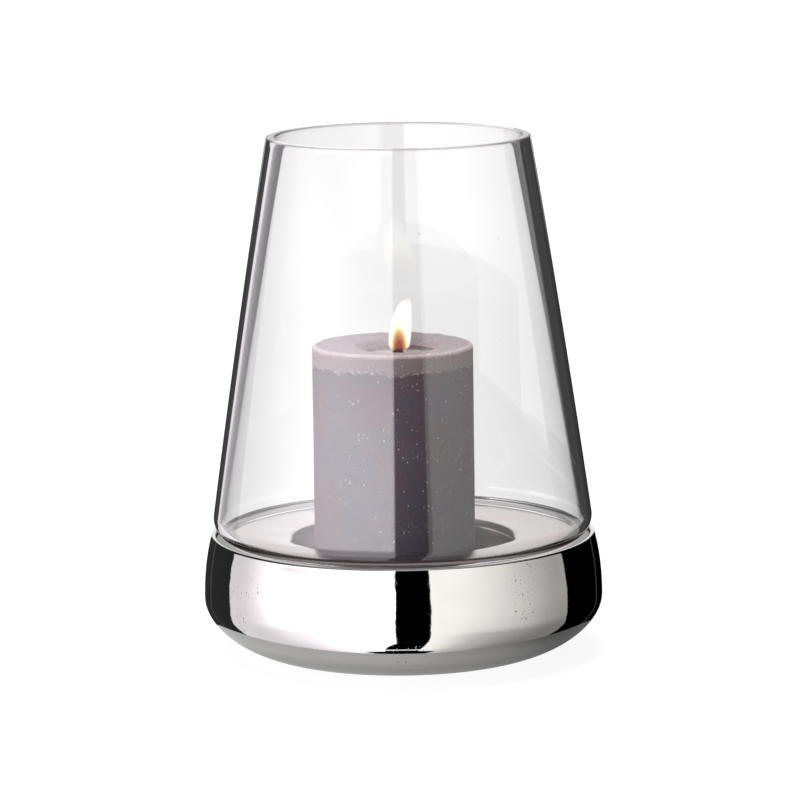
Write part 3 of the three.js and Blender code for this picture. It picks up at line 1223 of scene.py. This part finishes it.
@dataclass
class Studio:
    """The camera, the pale floor, the lamps and what the polished faces reflect.

    What they reflect is given in degrees: round is the angle round the holder, 0 at the
    front and positive to the right, and top and foot are heights above the horizon. A span
    runs from where a part begins to where it is full. The floor's and the table's spans
    are in metres. The wedges are dark parts of the floor at the sides behind the holder,
    which the camera doesn't see straight. They darken what the glass's two sides show.
    """

    distance: float = 2.1
    height: float = 0.4785
    pitch: float = 0.1662
    roll: float = 0.0123
    lens: float = 192.6
    side_shift: float = -0.00064
    ambient: float = 0.115
    plinth: float = 0.1000
    inner_glow: float = 0.07
    left_tint: Colour = colour(1.0, 0.955, 1.0)
    right_tint: Colour = colour(1.0, 0.985, 0.955)
    key: Panel = Panel(-1, 4.8, 120.0, 2.0, 1.05)
    side: Panel = Panel(1, 15.2, 108.4, 1.45, 0.50, dim=0.45)
    line: Stripe = Stripe(-66.0, (2.2, 1.2), (-28.0, -22.0), (26.0, 21.0))
    line_glow: float = 1.2
    slot: Stripe = Stripe(-74.5, (5.0, 4.0), (-54.0, -42.0), (40.0, 32.0))
    gap_left: Span = (-5.6, -4.6)
    gap_right: Span = (12.5, 11.5)
    gap_top: Span = (-40.0, -43.0)
    gap_spread: float = 0.55
    gap_spread_from: float = -42.0
    waver: float = 1.6
    bright_glow: float = 2.5
    bright_top: Span = (10.5, 7.0)
    bright_foot: Span = (-22.0, -2.0)
    bright_round: Span = (-110.0, -40.0)
    back_glow: float = 1.05
    back_round: Span = (19.0, 14.0)
    back_top: Span = (52.0, 46.0)
    back_foot: Span = (-6.0, -3.0)
    sides_glow: float = 0.030
    sides_round: Span = (107.0, 112.0)
    sides_left: Span = (60.0, -60.0)
    stands_glow: float = 0.05
    stands_middle: float = 31.0
    stands_width: Span = (1.6, 0.8)
    stands_top: Span = (34.0, 28.0)
    lid_glow: float = 0.18
    lid_middle: float = 5.0
    lid_width: Span = (40.0, 12.0)
    lid_foot: Span = (24.0, 25.0)
    zenith_glow: float = 0.45
    zenith_foot: Span = (36.0, 60.0)
    tint_round: Span = (-6.0, 12.0)
    tint_ends: Span = (130.0, 120.0)
    floor_size: float = 60.0
    floor_near: float = 0.91
    floor_gain: float = 0.09
    floor_fade: Span = (0.2, 1.0)
    wedge_slope: float = 0.17
    wedge_side: Span = (0.095, 0.125)
    wedge_behind: Span = (0.10, 0.30)
    glass_least: float = 0.05
    glass_near: float = 0.79
    glass_gain: float = 0.08
    glass_fade: Span = (0.8, 2.0)
    table_lift: float = 0.0002
    table_stretch: float = 1.08
    table_glow: float = 0.13
    table_middle: float = 0.12
    table_middle_from: Span = (0.088, 0.050)
    table_left: float = 0.37
    table_left_from: Span = (0.10, -0.05)
    table_foot_shadow: float = 0.28
    table_foot_shadow_from: Span = (0.078, 0.092)
    target: tuple[float, float, float] = (0.0, 0.0, 0.12)
    lamps: tuple[SoftLamp, ...] = (
        SoftLamp("top_light", (-0.15, -0.10, 1.35), 0.9, 14.0),
        SoftLamp("fill_light", (-1.5, -0.9, 0.8), 1.2, 8.0),
    )

    def camera(self) -> None:
        """Sets the camera at the photograph's angle."""
        lens = bpy.data.cameras.new("camera")
        lens.lens = self.lens
        lens.sensor_width = 36.0
        lens.clip_end = 200.0
        made = bpy.data.objects.new("camera", lens)
        tilt = Matrix.Rotation(math.pi / 2 - self.pitch, 4, "X")
        turn = tilt @ Matrix.Rotation(-self.roll, 4, "Z")
        place = Matrix.Translation((self.side_shift, -self.distance, self.height))
        made.matrix_world = place @ turn
        bpy.context.scene.collection.objects.link(made)
        bpy.context.scene.camera = made

    def sight(self, graph: Graph) -> tuple[Term, Term, Term]:
        """Reads how a ray came.

        Args:
            graph: The tree that asks.

        Returns:
            1 for a ray straight from the camera, 1 where nothing matt lies between, and 1 for
            a ray that has been through the glass and was mirrored on its way.
        """
        path = graph.node("ShaderNodeLightPath")
        straight = Term(graph, path.outputs["Is Camera Ray"])
        matt = Term(graph, path.outputs["Diffuse Depth"])
        through = graph.math("GREATER_THAN", Term(graph, path.outputs["Transmission Depth"]), 0.5)
        mirrored = graph.math("GREATER_THAN", Term(graph, path.outputs["Glossy Depth"]), 0.5)
        return straight, graph.math("LESS_THAN", matt, 0.5), through * mirrored

    def near_table(self, graph: Graph, seen: Term, azimuth: Term, elevation: Term) -> Term:
        """Opens the dark gap between the panels towards the table, with a bright line across.

        Args:
            graph: The world's tree.
            seen: The panels' brightness.
            azimuth: Degrees round the holder, 0 at the front, positive to the right.
            elevation: Degrees above the horizon.

        Returns:
            The brightness with the gap's foot in it.
        """
        drop = graph.most(self.gap_spread_from - elevation, 0.0)
        foot = graph.step(azimuth + self.gap_spread * drop, *self.gap_left)
        foot = foot * graph.step(azimuth, *self.gap_right) * graph.step(elevation, *self.gap_top)
        line = self.line_glow * self.line.mask(graph, azimuth, elevation)
        slot = self.slot.mask(graph, azimuth, elevation)
        return graph.most(seen * (1.0 - foot), line) * (1.0 - slot)

    def bright(self, graph: Graph, azimuth: Term, turned: Term, elevation: Term) -> Term:
        """Gives what the left panel adds low down, where it is brightest beside its inner edge.

        Args:
            graph: The world's tree.
            azimuth: Degrees round the holder, 0 at the front, positive to the right.
            turned: The same, wavering a little.
            elevation: Degrees above the horizon.

        Returns:
            The added brightness, falling to 0 round the brightest part.
        """
        inner, soft = -self.key.inner, self.key.soft_side
        mask = graph.step(elevation, *self.bright_top) * graph.step(elevation, *self.bright_foot)
        mask = mask * graph.step(turned, inner + soft, inner - soft)
        return self.bright_glow * mask * graph.step(azimuth, *self.bright_round)

    def surroundings(self, graph: Graph, seen: Term, azimuth: Term, elevation: Term) -> Term:
        """Adds what stands behind and above the holder: backdrop, its stands, lid and zenith.

        Args:
            graph: The world's tree.
            seen: The panels' brightness.
            azimuth: Degrees round the holder, 0 at the front, positive to the right.
            elevation: Degrees above the horizon.

        Returns:
            The brightness with the surroundings in it.
        """
        off_back = 180.0 - abs(azimuth)
        back = graph.step(off_back, *self.back_round) * graph.step(elevation, *self.back_top)
        back = back * graph.step(elevation, *self.back_foot)
        sides = graph.step(abs(azimuth), *self.sides_round) * graph.step(azimuth, *self.sides_left)
        stands = graph.step(abs(off_back - self.stands_middle), *self.stands_width)
        stands = stands * graph.step(elevation, *self.stands_top)
        lid = graph.step(elevation, *self.lid_foot)
        lid = lid * graph.step(abs(azimuth - self.lid_middle), *self.lid_width)
        zenith = graph.step(elevation, *self.zenith_foot)
        seen = graph.most(seen, self.back_glow * back)
        seen = graph.most(seen, self.sides_glow * sides + self.stands_glow * stands)
        return graph.most(seen, self.lid_glow * lid + self.zenith_glow * zenith)

    def world(self) -> None:
        """Sets the white backdrop, the panels that metal and glass see, and a low even light."""
        made = bpy.data.worlds.new("studio")
        bpy.context.scene.world = made
        made.use_nodes = True
        made.cycles.sampling_method = "NONE"
        graph = Graph(made.node_tree)
        straight, clear, inside = self.sight(graph)
        toward = graph.node("ShaderNodeTexCoord").outputs["Generated"]
        across, depth, height = graph.parts(toward)
        azimuth = graph.math("DEGREES", graph.math("ARCTAN2", across, -depth))
        elevation = graph.math("DEGREES", graph.math("ARCSINE", height))
        turned = azimuth + self.waver * (graph.clouds(toward, 9, 2) - 0.5)
        seen = self.key.glow(graph, turned, elevation) + self.side.glow(graph, turned, elevation)
        seen = seen + self.bright(graph, azimuth, turned, elevation)
        seen = self.near_table(graph, seen, turned, elevation)
        seen = self.surroundings(graph, seen, azimuth, elevation)
        seen = graph.most(seen, self.inner_glow * inside)
        level = straight + (1.0 - straight) * (clear * seen + (1.0 - clear) * self.ambient)
        beside = graph.step(abs(azimuth), *self.tint_ends) * (1.0 - straight)
        tint = graph.mix(graph.step(azimuth, *self.tint_round), self.left_tint, self.right_tint)
        tint = graph.mix(beside, colour(1, 1, 1), tint)
        shine = graph.node("ShaderNodeBackground", sockets={"Color": tint, "Strength": level})
        graph.node("ShaderNodeOutputWorld", sockets={"Surface": shine.outputs[0]})

    def sheet(self, name: str, shape: Shape) -> tuple[bpy.types.Object, Graph]:
        """Makes a piece of the set from a flat shape, with an empty node tree.

        Args:
            name: The piece's name.
            shape: Its shape, which is freed.

        Returns:
            The object and its material's tree.
        """
        mesh = bpy.data.meshes.new(name)
        shape.to_mesh(mesh)
        shape.free()
        look = bpy.data.materials.new(name)
        look.use_nodes = True
        mesh.materials.append(look)
        made = bpy.data.objects.new(name, mesh)
        bpy.context.scene.collection.objects.link(made)
        return made, Graph(look.node_tree)

    def floor(self) -> None:
        """Lays the pale floor. It keeps the holder's shadow, and glass shows it a shade darker."""
        shape = bmesh.new()
        bmesh.ops.create_grid(shape, x_segments=1, y_segments=1, size=self.floor_size)
        made, graph = self.sheet("floor", shape)
        straight, clear, inside = self.sight(graph)
        across, depth, _ = graph.parts(graph.place())
        reach = graph.length(across, depth)
        open_floor = self.floor_near + self.floor_gain * graph.step(reach, *self.floor_fade)
        beside = abs(across) - self.wedge_slope * depth
        dark = graph.step(beside, *self.wedge_side) * graph.step(depth, *self.wedge_behind)
        through = self.glass_near + self.glass_gain * graph.step(reach, *self.glass_fade)
        through = self.glass_least + through * (1.0 - dark)
        through = graph.most(through, self.inner_glow * inside)
        glow = clear * (straight * open_floor + (1.0 - straight) * through)
        tone = graph.mix(straight, colour(0.04, 0.04, 0.04), colour(0.32, 0.32, 0.32))
        shader = graph.node("ShaderNodeBsdfPrincipled", sockets={
            "Base Color": tone, "Roughness": 1.0, "Specular IOR Level": 0.0,
            "Emission Color": graph.mix(glow, colour(0, 0, 0), colour(1, 1, 1)),
            "Emission Strength": 1.0})
        graph.node("ShaderNodeOutputMaterial", sockets={"Surface": shader.outputs[0]})
        made.visible_glossy = False

    def stand(self) -> None:
        """Lays the round of table close to the foot that the polished metal mirrors, with a painted
        shadow that darkens it nearest the foot.
        """
        shape = bmesh.new()
        bmesh.ops.create_circle(shape, cap_ends=True, segments=180, radius=self.plinth)
        bmesh.ops.scale(shape, vec=(self.table_stretch, 1, 1), verts=shape.verts[:])
        bmesh.ops.translate(shape, vec=(0, 0, self.table_lift), verts=shape.verts[:])
        made, graph = self.sheet("table_round", shape)
        across, depth, _ = graph.parts(graph.place())
        reach = graph.length(across, depth)
        level = self.table_glow + self.table_middle * graph.step(across, *self.table_middle_from)
        level = level + self.table_left * graph.step(across, *self.table_left_from)
        # Painted shadow: the table turns darker inside a radius, for the holder's shadow near its
        # foot.
        edge = self.table_foot_shadow * graph.step(reach, *self.table_foot_shadow_from)
        level = level * (1.0 - self.table_foot_shadow + edge)
        sockets = {"Color": colour(1, 1, 1), "Strength": level}
        shader = graph.node("ShaderNodeEmission", sockets=sockets)
        graph.node("ShaderNodeOutputMaterial", sockets={"Surface": shader.outputs[0]})
        for kind in ("camera", "diffuse", "transmission", "shadow", "volume_scatter"):
            setattr(made, f"visible_{kind}", False)

    def build(self) -> None:
        """Sets the whole studio."""
        self.camera()
        self.world()
        self.floor()
        self.stand()
        for lamp in self.lamps:
            lamp.hang(Vector(self.target))
        bpy.context.scene.view_settings.view_transform = "Standard"


def main() -> None:
    """Builds the studio, the base, the shade and the candle in that order."""
    logging.basicConfig(level=logging.INFO, format="%(name)s: %(message)s")
    builders: list[tuple[str, Callable[[], None]]] = [
        ("studio", Studio().build),
        ("base", Base().build),
        ("shade", Shade().build),
        ("candle", Candle().build),
    ]
    for name, build in builders:
        build()
        log.info("%s: done", name)


if __name__ == "__main__":
    main()
